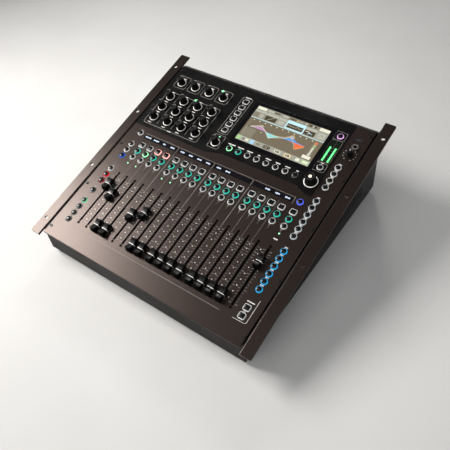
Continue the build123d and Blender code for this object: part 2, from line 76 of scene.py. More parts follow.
def islands(node, to_local=TO_SURFACE):
    """Lowest and highest corner of each loose solid of a CAD node, in millimetres."""
    bm = bmesh.new()
    bm.from_mesh(nodes[node].data)
    bm.transform(to_local)
    bmesh.ops.remove_doubles(bm, verts=bm.verts, dist=0.002)
    found, seen = [], set()
    for start in bm.verts:
        if start in seen:
            continue
        stack, part = [start], []
        seen.add(start)
        while stack:
            vert = stack.pop()
            part.append(vert.co.copy())
            for edge in vert.link_edges:
                other = edge.other_vert(vert)
                if other not in seen:
                    seen.add(other)
                    stack.append(other)
        low = Vector([min(p[i] for p in part) for i in range(3)])
        high = Vector([max(p[i] for p in part) for i in range(3)])
        found.append((low, high))
    bm.free()
    return found


def extent(node, to_local=TO_SURFACE):
    """Lowest and highest corner of a whole CAD node, in millimetres."""
    points = [to_local @ v.co for v in nodes[node].data.vertices]
    return [Vector([pick(p[i] for p in points) for i in range(3)]) for pick in (min, max)]


def centre_of(low, high):
    """Middle of a box, seen from above."""
    return (low.x + high.x) / 2, (low.y + high.y) / 2


# ---- materials ----
class Paint:
    """Builds one procedural material."""

    def __init__(self, name):
        self.material = bpy.data.materials.new(name)
        self.material.use_nodes = True
        self.tree = self.material.node_tree
        self.shader = self.tree.nodes["Principled BSDF"]
        self.coords = self.tree.nodes.new("ShaderNodeTexCoord").outputs["Object"]

    def put(self, **values):
        for key, value in values.items():
            self.shader.inputs[key.replace("_", " ")].default_value = value
        return self

    def node(self, kind, inputs=(), **settings):
        made = self.tree.nodes.new("ShaderNode" + kind)
        for key, value in settings.items():
            setattr(made, key, value)
        for key, value in dict(inputs).items():
            if isinstance(value, bpy.types.NodeSocket):
                self.tree.links.new(value, made.inputs[key])
            else:
                made.inputs[key].default_value = value
        return made

    def noise(self, scale, detail=3.0, roughness=0.6):
        return self.node("TexNoise", {"Vector": self.coords, "Scale": scale, "Detail": detail,
                                      "Roughness": roughness}).outputs["Fac"]

    def colour(self, source, first, second, steps=(0.35, 0.65)):
        """Base colour from first to second, between the two steps of the source."""
        ramp = self.node("ValToRGB", {"Fac": source})
        for stop, place, tint in zip(ramp.color_ramp.elements, steps, (first, second)):
            stop.position = place
            stop.color = (*tint, 1)
        self.tree.links.new(ramp.outputs["Color"], self.shader.inputs["Base Color"])
        return self

    def roughen(self, source, low, high):
        """Roughness between low and high, following the middle of the source's range."""
        made = self.node("MapRange", {"Value": source, "From Min": 0.3, "From Max": 0.7,
                                      "To Min": low, "To Max": high})
        self.tree.links.new(made.outputs["Result"], self.shader.inputs["Roughness"])
        return self

    def bump(self, source, strength, distance):
        made = self.node("Bump", {"Height": source, "Strength": strength, "Distance": distance})
        self.tree.links.new(made.outputs["Normal"], self.shader.inputs["Normal"])
        return self


def shade(colour, factor):
    return tuple(min(1.0, c * factor) for c in colour)


def plain(name, colour, rough, metal=0.0, scale=60.0, grain=900.0, strength=0.15, vary=0.18, **extra):
    """Material with slow colour variation, uneven gloss and a fine grain."""
    paint = Paint(name)
    slow, fine = paint.noise(scale), paint.noise(grain, 2.0)
    paint.colour(slow, shade(colour, 1 - vary), shade(colour, 1 + vary))
    paint.roughen(slow, rough * 0.88, min(1.0, rough * 1.12))
    paint.bump(fine, strength, 0.00012)
    paint.put(Metallic=metal, **extra)
    return paint.material


def glow(name, colour, power, base, rough=0.35, mirror=0.35):
    """Translucent plastic of the base colour, lit from behind."""
    paint = Paint(name)
    slow = paint.noise(500.0, 2.0)
    paint.colour(slow, shade(base, 0.85), shade(base, 1.0))
    paint.roughen(slow, rough * 0.8, rough * 1.2)
    paint.put(Emission_Color=(*colour, 1), Emission_Strength=power, Specular_IOR_Level=mirror)
    return paint.material


def bronze(name, dark, light, low, high):
    """Satin metallic paint with a fine texture."""
    paint = Paint(name)
    wide, fine = paint.noise(9.0, 4.0), paint.noise(2600.0, 3.0, 0.7)
    paint.colour(wide, dark, light, (0.3, 0.7))
    paint.roughen(fine, low, high)
    paint.bump(fine, 0.22, 0.00008)
    paint.put(Metallic=0.5, Specular_IOR_Level=0.75, Specular_Tint=(1.0, 0.88, 0.82, 1))
    return paint.material


def gloss_black():
    """Smoked gloss overlay with faint smears."""
    paint = Paint("gloss_black")
    wide, fine = paint.noise(14.0, 5.0), paint.noise(700.0, 2.0)
    paint.colour(wide, (0.0022, 0.002, 0.002), (0.004, 0.0036, 0.0034))
    paint.roughen(wide, 0.22, 0.34)
    paint.bump(fine, 0.03, 0.0001)
    paint.put(Specular_IOR_Level=0.22)
    return paint.material


BRONZE = bronze("bronze_paint", (0.0145, 0.0088, 0.0068), (0.0205, 0.0128, 0.0102), 0.27, 0.36)
# the rack ears wear the panel's bronze, made darker as painted shade
SHADED_EAR_BRONZE = bronze("ear_bronze_painted_shade", (0.0125, 0.0078, 0.0060), (0.0175, 0.0110, 0.0088), 0.27, 0.36)
GLOSS = gloss_black()
CASE = plain("case_paint", (0.0070, 0.0063, 0.0060), 0.5, 0.2, 12, 2400, 0.35, Specular_IOR_Level=0.2)
KEY_CAP = plain("key_plastic", (0.003, 0.003, 0.0033), 0.2, 0, 300, 2200, 0.05, Specular_IOR_Level=0.32)
RUBBER = plain("knob_rubber", (0.003, 0.003, 0.0032), 0.5, 0, 260, 3000, 0.3, Specular_IOR_Level=0.12)
FADER = plain("fader_plastic", (0.0018, 0.0018, 0.002), 0.32, 0, 200, 2600, 0.12, Specular_IOR_Level=0.07)
FADER_SATIN = plain("fader_satin", (0.004, 0.0036, 0.0035), 0.36, 0, 200, 2600, 0.12, Specular_IOR_Level=0.24)
FADER_STEEL = plain("fader_metal", (0.45, 0.45, 0.46), 0.35, 1.0, 90, 1500, 0.1)
RAIL = plain("rail_steel", (0.008, 0.008, 0.008), 0.7, 0, 90, 1500, 0.1, Specular_IOR_Level=0.1)
SOCKET = plain("socket_black", (0.017, 0.017, 0.018), 0.45, 0, 150, 2200, 0.25)
CONTACT = plain("contact_metal", (0.42, 0.40, 0.38), 0.3, 1.0, 200, 2000, 0.1)
GOLD = plain("contact_gold", (0.80, 0.56, 0.22), 0.3, 1.0, 200, 2000, 0.1)
FOOT = plain("foot_rubber", (0.018, 0.017, 0.017), 0.8, 0, 200, 1800, 0.5)
SCREW = plain("screw_steel", (0.014, 0.013, 0.013), 0.4, 0.5, 300, 2200, 0.15)
BOARD = plain("board_green", (0.01, 0.09, 0.035), 0.4, 0, 120, 900, 0.2, 0.35)
SUPPLY = plain("supply_metal", (0.55, 0.55, 0.56), 0.4, 1.0, 60, 1400, 0.15)
WINDOW = plain("window_black", (0.002, 0.002, 0.0026), 0.2, 0, 40, 700, 0.05, Specular_IOR_Level=0.2)
# black for the jack sleeve and the slot-end screws; also painted shade round the fader slots and in the rear
# screw slots
BLACK_AND_PAINTED_SHADE = plain("black_and_painted_shade", (0.0015, 0.0015, 0.0015), 0.9, 0, 200, 2200, 0.3, Specular_IOR_Level=0.05)
INK = plain("print_white", (0.50, 0.49, 0.475), 0.6, 0, 400, 2600, 0.3)
INK_DIM = plain("print_grey", (0.16, 0.15, 0.14), 0.6, 0, 400, 2600, 0.3)
INK_FAINT = plain("print_faint", (0.115, 0.098, 0.09), 0.55, 0, 400, 2600, 0.3)
RING = plain("ring_white", (0.86, 0.83, 0.80), 0.5, 0, 400, 2600, 0.2)
DOT = plain("index_white", (0.75, 0.75, 0.73), 0.45, 0, 400, 2400, 0.2)

# colour, power and base, then roughness and gloss where they differ from the rest
LIGHT_RECIPES = {
    "white": ((1.0, 0.98, 0.96), 0.16, (0.62, 0.62, 0.61)),
    "dim": ((1.0, 0.98, 0.96), 0.01, (0.13, 0.13, 0.125)),
    "cool": ((0.86, 0.96, 1.0), 0.30, (0.34, 0.37, 0.39)),
    "teal": ((0.03, 0.72, 0.55), 0.75, (0.02, 0.13, 0.11)),
    "green": ((0.32, 1.0, 0.50), 1.3, (0.10, 0.25, 0.14)),
    "pale_green": ((0.27, 0.90, 0.48), 0.75, (0.06, 0.14, 0.09), 0.35, 0.15),
    "pink": ((1.0, 0.44, 0.40), 1.5, (0.30, 0.12, 0.11)),
    "red": ((0.85, 0.012, 0.02), 0.85, (0.06, 0.004, 0.004), 0.35, 0.12),
    "deep_red": ((0.45, 0.008, 0.012), 0.5, (0.04, 0.004, 0.004), 0.35, 0.12),
    "blue": ((0.012, 0.14, 0.80), 0.8, (0.006, 0.02, 0.09), 0.35, 0.12),
    "cyan": ((0.025, 0.42, 0.85), 0.8, (0.02, 0.10, 0.16)),
    "violet": ((0.10, 0.15, 0.95), 1.1, (0.03, 0.04, 0.2)),
    "purple": ((0.80, 0.40, 0.86), 1.15, (0.2, 0.12, 0.2)),
    "warm": ((1.0, 0.84, 0.62), 1.8, (0.5, 0.45, 0.35)),
    "meter": ((0.04, 1.0, 0.14), 1.5, (0.01, 0.12, 0.02)),
    "led": ((0.35, 1.0, 0.50), 1.8, (0.1, 0.3, 0.15)),
    "led_off": ((0.4, 0.4, 0.4), 0.0, (0.03, 0.027, 0.025)),
}
LIGHTS = {name: glow("light_" + name, *recipe) for name, recipe in LIGHT_RECIPES.items()}


# ---- mesh building ----
def rounded(x, y, width, length, corner, steps=5):
    """Outline of a rounded rectangle, or of a circle if the corner is half the width."""
    corner = max(0.01, min(corner, width / 2, length / 2))
    points = []
    for turn, sx, sy in ((0, 1, 1), (1, -1, 1), (2, -1, -1), (3, 1, -1)):
        cx, cy = x + sx * (width / 2 - corner), y + sy * (length / 2 - corner)
        for i in range(steps + 1):
            angle = math.pi / 2 * (turn + i / steps)
            points.append((cx + corner * math.cos(angle), cy + corner * math.sin(angle)))
    return points


def circle(x, y, radius, steps=32):
    turns = [2 * math.pi * i / steps for i in range(steps)]
    return [(x + radius * math.cos(turn), y + radius * math.sin(turn)) for turn in turns]


def loft(bm, rings, slot=0, top=True, bottom=True):
    """Skin over outlines of equal length; each ring is (outline, height)."""
    rows = [[bm.verts.new((px, py, height)) for px, py in outline] for outline, height in rings]
    made = []
    for low, high in zip(rows, rows[1:]):
        for i in range(len(low)):
            j = (i + 1) % len(low)
            made.append(bm.faces.new((low[i], low[j], high[j], high[i])))
    if bottom:
        made.append(bm.faces.new(rows[0][::-1]))
    if top:
        made.append(bm.faces.new(rows[-1]))
    for item in made:
        item.material_index = slot


def plate(bm, outline_at, low, high, edge, slot=0):
    """Thin raised shape with a small eased edge; outline_at gives the outline for an inset."""
    loft(bm, [(outline_at(0), low), (outline_at(0), high - edge), (outline_at(edge), high)], slot)


def bar(bm, x, y, width, length, low, high, slot=0, corner=0.2):
    edge = min(0.08, (high - low) / 2)
    plate(bm, lambda d: rounded(x, y, width - 2 * d, length - 2 * d, corner, 2), low, high, edge, slot)


def dot(bm, x, y, radius, low, high, slot=0):
    edge = min(0.08, (high - low) / 2)
    plate(bm, lambda d: circle(x, y, radius - d, 16), low, high, edge, slot)


def line(bm, start, end, width, low, high, slot=0):
    """Straight printed stroke between two points."""
    a, b = Vector(start), Vector(end)
    side = (b - a).normalized().orthogonal() * width / 2
    points = [a - side, b - side, b + side, a + side]
    if (points[1] - points[0]).cross(points[2] - points[1]) < 0:
        points.reverse()
    loft(bm, [(points, low), (points, high)], slot)


def band(bm, outer, inner, low, high, slot=0):
    """Flat closed band between two outlines of equal length."""
    rows = [[bm.verts.new((px, py, z)) for px, py in outline]
            for outline, z in ((outer, low), (outer, high), (inner, high), (inner, low))]
    for k in range(4):
        first, second = rows[k], rows[(k + 1) % 4]
        for i in range(len(first)):
            j = (i + 1) % len(first)
            bm.faces.new((first[i], first[j], second[j], second[i])).material_index = slot


def revolve(bm, x, y, profile, steps=48, flutes=0, depth=0.0, span=(0, 0), slot=0):
    """Turned solid about an axis on the surface; flutes press into the heights within span."""
    rings = []
    for radius, height in profile:
        cut = depth if flutes and span[0] <= height <= span[1] else 0.0
        outline = []
        for i in range(steps):
            turn = 2 * math.pi * i / steps
            reach = radius - cut * (0.5 - 0.5 * math.cos(flutes * turn))
            outline.append((x + reach * math.cos(turn), y + reach * math.sin(turn)))
        rings.append((outline, height))
    loft(bm, rings, slot)


def pin(bm, x, y, radius, low, high):
    """Upright pin with a rounded tip."""
    profile = [(radius, low), (radius, high - 0.6), (radius * 0.8, high - 0.2), (radius * 0.35, high)]
    revolve(bm, x, y, profile, 20)


def tube(bm, x, y, outer, inner, low, high, slot=0, steps=36):
    """Upright sleeve with eased rims, open below."""
    edge = 0.15
    profile = [(outer, low), (outer, high - edge), (outer - edge, high), (inner + edge, high),
               (inner, high - edge), (inner, low)]
    loft(bm, [(circle(x, y, r, steps), z) for r, z in profile], slot, top=False, bottom=False)


def nut(bm, x, y, radius, low, high):
    """Six-sided nut with a chamfered face and an open middle."""
    profile = [(radius, low), (radius, high - 0.35), (radius - 0.3, high - 0.05), (radius * 0.76, high)]
    loft(bm, [(circle(x, y, r, 6), z) for r, z in profile], top=False, bottom=False)


class Print:
    """Thin raised marks on one flat face."""

    def __init__(self, low, high):
        self.bm = bmesh.new()
        self.low, self.high = low, high

    def bar(self, x, y, width, length, slot=0, corner=0.4, lift=0.0):
        bar(self.bm, x, y, width, length, self.low, self.high + lift, slot, corner)

    def dot(self, x, y, radius, slot=0):
        dot(self.bm, x, y, radius, self.low, self.high, slot)

    def line(self, start, end, width, slot=0):
        line(self.bm, start, end, width, self.low, self.high, slot)

    def band(self, outer, inner, slot):
        band(self.bm, outer, inner, self.low, self.high, slot)

    def frame(self, x0, x1, y0, y1, width, slot=0, corner=3.0):
        x, y, across, tall, half = (x0 + x1) / 2, (y0 + y1) / 2, x1 - x0, y1 - y0, width / 2
        self.band(rounded(x, y, across + width, tall + width, corner + half),
                  rounded(x, y, across - width, tall - width, corner - half), slot)

    def ring(self, spot, outer, inner, steps, slot=0):
        self.band(circle(spot.x, spot.y, outer, steps), circle(spot.x, spot.y, inner, steps), slot)


SHARP_ANGLE = math.radians(32)


def add(name, bm, materials, body, replaced=(), place=SURFACE):
    """Turns a bmesh into a piece that rides on a body, with the given materials in its slots."""
    bmesh.ops.recalc_face_normals(bm, faces=bm.faces)
    mesh = bpy.data.meshes.new(name)
    bm.transform(place)
    bm.to_mesh(mesh)
    bm.free()
    for material in materials:
        mesh.materials.append(material)
    mesh.shade_smooth()
    mesh.set_sharp_from_angle(angle=SHARP_ANGLE)
    piece = bpy.data.objects.new(name, mesh)
    bpy.context.scene.collection.objects.link(piece)
    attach(piece, body)
    if replaced:
        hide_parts(*replaced)


FINISH = {"control_panel": (BRONZE, 0.25), "gloss_panel": (GLOSS, 0.15), "touch_screen": (WINDOW, 0),
          "rack_ear_left": (SHADED_EAR_BRONZE, 0.9), "rack_ear_right": (SHADED_EAR_BRONZE, 0.9), "chassis_tray": (CASE, 0.3),
          "rear_panel": (CASE, 0.3), "fader_mechanisms": (RAIL, 0), "circuit_boards": (BOARD, 0),
          "power_supply": (SUPPLY, 0), "power_rocker": (SOCKET, 0.3), "audio_sockets": (SOCKET, 0.15),
          "feet": (FOOT, 0.5), "screws": (SCREW, 0.1)}
for name, (material, width) in FINISH.items():
    shown = nodes[name]
    shown.data.materials.clear()
    shown.data.materials.append(material)
    if width:
        soft = shown.modifiers.new("soft_edges", "BEVEL")
        soft.width, soft.segments, soft.limit_method = width * MM, 2, "ANGLE"
        soft.angle_limit = math.radians(40)
        soft.use_clamp_overlap = True


# ---- keys ----
KEY_FLANGE = 0.55     # hidden rim that holds a key under the surface


class Spot:
    """Top outline of one key, read from its CAD solid."""

    def __init__(self, low, high):
        self.x, self.y = centre_of(low, high)
        self.width, self.length = high.x - low.x - 2 * KEY_FLANGE, high.y - low.y - 2 * KEY_FLANGE
        self.top = high.z
        self.corner = 3.2 if self.width > self.length + 0.5 else self.width / 2


def build_key(ring, cap, spot, slot):
    """One lit key: a translucent collar with a dark raised cap in its middle."""
    def at(inset):
        width, length = spot.width - 2 * inset, spot.length - 2 * inset
        return rounded(spot.x, spot.y, width, length, spot.corner - inset, 6)

    top = spot.top
    loft(ring, [(at(0.35), top - 5.0), (at(0.35), top - 1.8), (at(0.5), top - 1.52), (at(0.8), top - 1.45),
                (at(1.4), top - 1.5), (at(1.5), top - 2.2)], slot, top=False)
    loft(cap, [(at(1.45), top - 2.6), (at(1.5), top - 0.6), (at(1.7), top - 0.3), (at(2.4), top + 0.05),
               (at(3.2), top + 0.36), (at(4.2), top + 0.6), (at(4.9), top + 0.66)], 0)


def channel_colours(base, special):
    """Colour of each key by its place in its bank: base, unless special names another."""
    return lambda index, spot: special.get(index, base)


BANKS = {
    "mute_buttons": channel_colours("white", {2: "pink", 3: "pink"}),
    "select_buttons": channel_colours("teal", {1: "green"}),
    "listen_buttons": channel_colours("white", {}),
    "left_buttons": channel_colours("dim", {3: "pale_green", 5: "deep_red", 6: "red", 7: "white", 8: "blue",
                                            9: "white", 10: "white", 11: "white"}),
    "soft_buttons": channel_colours("cyan", {}),
    "layer_buttons": lambda index, spot: "violet" if spot.x < 180 else "cool",
    "function_buttons": channel_colours("white", {}),
    "screen_buttons": channel_colours("white", {0: "green", 1: "teal", 7: "dim"}),
    "assign_buttons": lambda index, spot: "purple" if spot.y > 400 else "white",
}
spots = {}
for bank, pick in BANKS.items():
    spots[bank] = sorted((Spot(*pair) for pair in islands(bank)), key=lambda s: (round(s.y), s.x))
    names = [pick(i, s) for i, s in enumerate(spots[bank])]
    used = sorted(set(names))
    ring, cap = bmesh.new(), bmesh.new()
    for spot, name in zip(spots[bank], names):
        build_key(ring, cap, spot, used.index(name))
    add(bank + "_collars", ring, [LIGHTS[n] for n in used], bank, [bank])
    add(bank + "_caps", cap, [KEY_CAP], bank, [bank])

channels = [s.x for s in spots["mute_buttons"]]
OVERLAY = extent("gloss_panel")[1].z
GLASS = extent("touch_screen")[1].z


# ---- faders ----
def prism(bm, outline, x0, x1):
    """Solid with the same side outline, given as (along, height), from x0 to x1; gives its long faces."""
    rows = [[bm.verts.new((x, y, z)) for y, z in outline] for x in (x0, x1)]
    count = len(outline)
    made = [bm.faces.new((rows[0][i], rows[0][(i + 1) % count], rows[1][(i + 1) % count], rows[1][i]))
            for i in range(count)]
    bm.faces.new(rows[0][::-1])
    bm.faces.new(rows[1])
    return made


def ease(bm, offset, segments):
    """Rounds the sharp edges of what a bmesh holds so far."""
    bmesh.ops.recalc_face_normals(bm, faces=bm.faces)
    bm.normal_update()
    limit = math.radians(28)
    sharp = [edge for edge in bm.edges if len(edge.link_faces) == 2 and edge.calc_face_angle(0) > limit]
    bmesh.ops.bevel(bm, geom=sharp, offset=offset, segments=segments, profile=0.6, affect="EDGES",
                    clamp_overlap=True)


SCOOP_HALF, SCOOP_DEPTH = 8.4, 3.4


def fader_outline(u, base, top):
    """Side outline of a scooped fader cap."""
    points = [(u - 13.0, base), (u - 10.9, top - 0.7), (u - 10.0, top), (u - SCOOP_HALF, top)]
    for i in range(1, 12):
        t = -1 + i / 6
        points.append((u + SCOOP_HALF * t, top - SCOOP_DEPTH * (1 - t * t)))
    points += [(u + SCOOP_HALF, top), (u + 10.0, top), (u + 10.9, top - 0.7), (u + 13.0, base)]
    return points[::-1]


def fader(node):
    """Finger cap with grip ribs and an index line, on the CAD lever and carriage."""
    low, high = extent(node)
    x, u = centre_of(low, high)
    top, base = high.z, 1.4
    bm = bmesh.new()
    for item in prism(bm, fader_outline(u, base, top), x - 5.5, x + 5.5):
        centre = item.calc_center_median()
        if abs(centre.y - u) < SCOOP_HALF - 0.2 and centre.z > base + 1:
            item.material_index = 4
    for vert in bm.verts:
        if vert.co.z > base + 4:
            vert.co.x = x + (vert.co.x - x) * 0.93
    ease(bm, 0.45, 3)
    for side in (-1, 1):
        for k in range(3):
            rib = u + side * (9.9 - 1.5 * k)
            bar(bm, x, rib, 8.2, 0.5, top - 1.6 - 0.5 * k, top + 0.12 - 0.42 * k, 0, 0.2)
    bar(bm, x, u, 10.3, 1.0, top - 3.6, top - 3.32, 1, 0.1)
    for side in (-1, 1):
        bar(bm, x + side * 5.16, u, 0.5, 1.0, base + 3.4, top - 3.36, 1, 0.1)
        bar(bm, x + side * 5.42, u, 0.3, 1.0, base + 0.2, base + 4.0, 1, 0.1)
    loft(bm, [(rounded(x, u, 1.2, 6, 0.3, 2), -12.0), (rounded(x, u, 1.2, 6, 0.3, 2), base + 1)], 2)
    loft(bm, [(rounded(x, u, 6.8, 10, 0.8, 3), -16.0), (rounded(x, u, 6.8, 10, 0.8, 3), -11.4),
              (rounded(x, u, 6.2, 9.4, 0.8, 3), -11.0)], 3)
    add(node + "_cap", bm, [FADER, DOT, FADER_STEEL, SOCKET, FADER_SATIN], node, [node])


fader_names = sorted(n for n in nodes if n.startswith("fader_") and n != "fader_mechanisms")
for name in fader_names:
    fader(name)


# ---- knobs ----
def arc_inlay(bm, x, y, inner, outer, low, high, middle, spread, slot, steps=10):
    """Curved bar lying on a knob's shoulder, from inner (higher) to outer (lower) radius."""
    rows = []
    for i in range(steps + 1):
        a = math.radians(middle - spread + 2 * spread * i / steps)
        section = ((inner, high), (outer, low), (outer - 0.5, low - 0.4), (inner, high - 0.4))
        rows.append([bm.verts.new((x + r * math.cos(a), y + r * math.sin(a), z)) for r, z in section])
    for first, second in zip(rows, rows[1:]):
        for k in range(4):
            m = (k + 1) % 4
            bm.faces.new((first[k], first[m], second[m], second[k])).material_index = slot
    bm.faces.new(rows[0]).material_index = slot
    bm.faces.new(rows[-1][::-1]).material_index = slot


def knob_at(node):
    """Place of a knob's axis on the surface."""
    return TO_SURFACE @ Vector(joints[node + "_turn"]["pos_m"])


def knob_sizes(node):
    """Foot, skirt height, top and radius of a knob, read from its CAD solid."""
    low, high = extent(node)
    return low.z, OVERLAY + 0.7, high.z, (high.x - low.x) / 2 - 0.5


def stem(foot, base, radius):
    """Profile of a knob's shaft and skirt."""
    return [(2.9, foot), (3.0, foot + 0.3), (3.0, base + 0.2), (radius + 0.4, base + 0.2),
            (radius + 0.5, base + 0.5), (radius + 0.5, base + 1.3)]


def turned_knob(node, pointer, light):
    """Fluted rubber knob with a skirt, a dished top and a pointer inlay on its shoulder."""
    x, y, _ = knob_at(node)
    foot, base, top, radius = knob_sizes(node)
    rim = radius - 1.0
    bm = bmesh.new()
    profile = stem(foot, base, radius)
    profile += [(radius + 0.3, base + 1.6), (radius, base + 2.0), (radius - 0.05, base + 2.6),
                (radius - 0.5, top - 2.2), (radius - 0.6, top - 1.5), (radius - 0.8, top - 0.6),
                (rim - 0.5, top - 0.08), (rim - 1.0, top), (rim - 1.5, top - 0.15),
                (rim - 2.2, top - 0.4), (0.6, top - 0.5)]
    revolve(bm, x, y, profile, 96, 24, 0.32, (base + 2.4, top - 1.9))
    lit = node in LIT
    arc_inlay(bm, x, y, rim - 1.1, radius - 0.5, top - 0.62, top + 0.08, pointer, 48 if lit else 34, 1)
    if lit:
        a, reach = math.radians(pointer), rim - 2.8
        dot(bm, x + reach * math.cos(a), y + reach * math.sin(a), 1.7, top - 0.7, top + 0.05, 1)
    add(node + "_body", bm, [RUBBER, light], node, [node])


POINTER = plain("pointer_grey", (0.26, 0.26, 0.25), 0.4, 0, 300, 2400, 0.15)
LIT = {"input_knob_4": (90, LIGHTS["led"]), "upper_knob_3": (135, LIGHTS["led"])}
knob_names = [n for n in nodes if n + "_turn" in joints and n not in ("main_encoder", "phones_knob")]
for name in knob_names:
    turned_knob(name, *LIT.get(name, (90 if name.startswith("input") else 118, POINTER)))


def encoder(node):
    """Large push encoder with a finely knurled side and a lit dot in its dished top."""
    x, y, _ = knob_at(node)
    foot, base, top, radius = knob_sizes(node)
    bm = bmesh.new()
    profile = stem(foot, base, radius)
    profile += [(radius + 0.1, base + 1.8), (radius, base + 2.6), (radius - 0.45, top - 1.8),
                (radius - 0.6, top - 1.1), (radius - 1.0, top - 0.3), (radius - 1.6, top),
                (radius - 2.4, top - 0.25), (3.6, top - 0.8), (3.2, top - 0.9), (0.6, top - 0.95)]
    revolve(bm, x, y, profile, 144, 36, 0.35, (base + 2.5, top - 1.6))
    jewel = [(2.7, top - 1.1), (2.7, top - 0.75), (2.4, top - 0.55), (1.2, top - 0.45), (0.2, top - 0.42)]
    revolve(bm, x, y, jewel, 32, slot=1)
    add(node + "_body", bm, [RUBBER, LIGHTS["warm"]], node, [node])


def phones_level(node):
    """Small tapered knob with a pointer bar."""
    x, y, _ = knob_at(node)
    foot, base, top, radius = knob_sizes(node)
    bm = bmesh.new()
    profile = [(2.9, foot), (3.0, foot + 0.3), (3.0, base), (radius + 0.4, base), (radius + 0.5, base + 0.3),
               (radius + 0.5, base + 1.2), (radius, base + 1.8), (radius - 0.5, top - 1.2),
               (radius - 0.9, top - 0.4), (radius - 1.5, top), (0.6, top - 0.05)]
    revolve(bm, x, y, profile, 72, 18, 0.28, (base + 1.9, top - 1.0))
    bar(bm, x, y + 2.6, 0.9, 3.4, top - 0.4, top + 0.1, 1, 0.3)
    add(node + "_body", bm, [RUBBER, DOT], node, [node])


encoder("main_encoder")
phones_level("phones_knob")

# ---- prints on the gloss overlay ----
INKS = [INK, INK_DIM, INK_FAINT, RING]
WHITE, GREY, FAINT, BRIGHT = range(4)
LIFT = 0.02     # a legend that breaks a line stands this much above it
overlay = Print(OVERLAY - 0.02, OVERLAY + 0.05)


def print_knobs():
    """White arcs round the knobs, with their legends."""
    for name in knob_names:
        spot = knob_at(name)
        overlay.ring(spot, 9.1, 7.8, 48, BRIGHT)
        if name.startswith("input"):
            overlay.frame(spot.x - 14, spot.x + 14, spot.y - 14.0, spot.y + 17.5, 0.9, GREY, 5)
            overlay.bar(spot.x - 1, spot.y + 11.4, 9.5, 2.6, WHITE, 0.5, LIFT)
        elif name != "side_knob":
            overlay.bar(spot.x - 0.5, spot.y - 14.2, 8.0, 1.8, WHITE, 0.5)
    overlay.ring(knob_at("main_encoder"), 13.0, 11.3, 64, BRIGHT)


def print_processing_block():
    """Outline round the twelve processing knobs, with its dividers and legends."""
    xs = sorted({round(knob_at(n).x, 2) for n in knob_names if n.startswith("upper")})
    low, high = knob_at("lower_knob_1").y - 18.6, knob_at("upper_knob_1").y + 12
    overlay.frame(xs[0] - 13.5, xs[-1] + 13.5, low, high, 1.0, GREY, 5)
    for first, second in zip(xs, xs[1:]):
        x = (first + second) / 2 - 0.5
        for row in ("upper", "middle", "lower"):
            y = knob_at(row + "_knob_1").y
            overlay.line((x, y - 12), (x, y + 8), 0.9, GREY)
    for x in xs:
        overlay.bar(x - 1, high, 6.0, 2.4, WHITE, 0.5, LIFT)
    overlay.bar((xs[1] + xs[2]) / 2, low, 9.0, 2.4, WHITE, 0.5, LIFT)


def print_screen_keys():
    """Outlines and legends round the keys beside and under the screen."""
    side = knob_at("side_knob")
    overlay.frame(side.x - 12, side.x + 12, side.y - 13.2, side.y + 18.5, 0.9, GREY)
    column = [s for s in spots["function_buttons"] if s.x < 0]
    x, last = column[0].x, column[-1].y
    overlay.frame(x - 10.8, x + 10.8, column[0].y - 10, last + 9.6, 0.9, GREY, 2.5)
    overlay.bar(x, last + 10, 13, 2.2, WHITE, 0.5, LIFT)
    for spot, wide in zip(spots["screen_buttons"], (16, 12.5, 12, 5, 11, 9.5, 10.5, 5)):
        overlay.bar(spot.x + 0.4, spot.y + 9.2, wide, 2.4, WHITE, 0.5)


def print_meter_column():
    """Outlines round the home key, the meters and the meter key, with the meter scale."""
    home = max(spots["assign_buttons"], key=lambda s: s.y)
    below = min((s for s in spots["assign_buttons"] if s.x < 180), key=lambda s: s.y)
    left, right = home.x - 10.8, home.x + 10.6
    overlay.frame(left, right, home.y - 9.6, home.y + 9.6, 0.8, GREY)
    overlay.frame(left, right, below.y - 9, below.y + 9.3, 0.8, GREY)
    overlay.frame(left, right, 350.6, 402.4, 0.7, FAINT, 2)
    overlay.bar(below.x, below.y + 9.4, 6, 2.0, WHITE, 0.5, LIFT)
    for k in range(9):
        overlay.bar(home.x + 0.7, 355.5 + 5.4 * k, 1.6, 0.8, GREY, 0.2)


print_knobs()
print_processing_block()
print_screen_keys()
print_meter_column()
add("overlay_print", overlay.bm, INKS, STATIC)

# ---- prints on the bronze surface ----
surface = Print(-0.02, 0.05)
strips = [pair for pair in islands("display_windows") if pair[1].x - pair[0].x > 40]
strips.sort(key=lambda pair: pair[0].x)
SCALE_LOW, SCALE_HIGH, SCALE_STEPS = 54.0, 157.0, 19
LEVEL_ROWS = (154.5, 145.5, 132, 118, 106, 94.4, 83, 71.7, 59.5)
BORDER = 35.0


def print_channels():
    """Ticks at the keys, dividers between the channels and the level rows beside the slots."""
    mute_y, select_y, listen_y = (spots[kind + "_buttons"][0].y for kind in ("mute", "select", "listen"))
    for x in channels:
        for y in (mute_y - 8.0, select_y - 7.6):
            surface.bar(x, y, 4.2, 1.1, GREY)
        surface.bar(x - 0.5, listen_y - 8.4, 4.0, 1.3, GREY)
        surface.line((x, listen_y - 10), (x, listen_y - 13.5), 0.6, GREY)
    for first, second in zip(channels, channels[1:]):
        x, wide = (first + second) / 2, second - first > 21
        if second < channels[-1]:
            surface.line((x, 158), (x, 250), 0.9 if wide else 0.6, GREY if wide else FAINT)
        for y in LEVEL_ROWS:
            surface.dot(x, y, 1.0)


def print_scales():
    """Fine fader scale down both sides of each slot."""
    for x in channels:
        for k in range(SCALE_STEPS + 1):
            y = SCALE_LOW + (SCALE_HIGH - SCALE_LOW) * k / SCALE_STEPS
            for side in (-1, 1):
                surface.dot(x + side * 4.8, y, 0.75, GREY)
                if k > 14 or k % 5 == 0:
                    surface.bar(x + side * 7.2, y, 2.2, 1.0, GREY, 0.3)


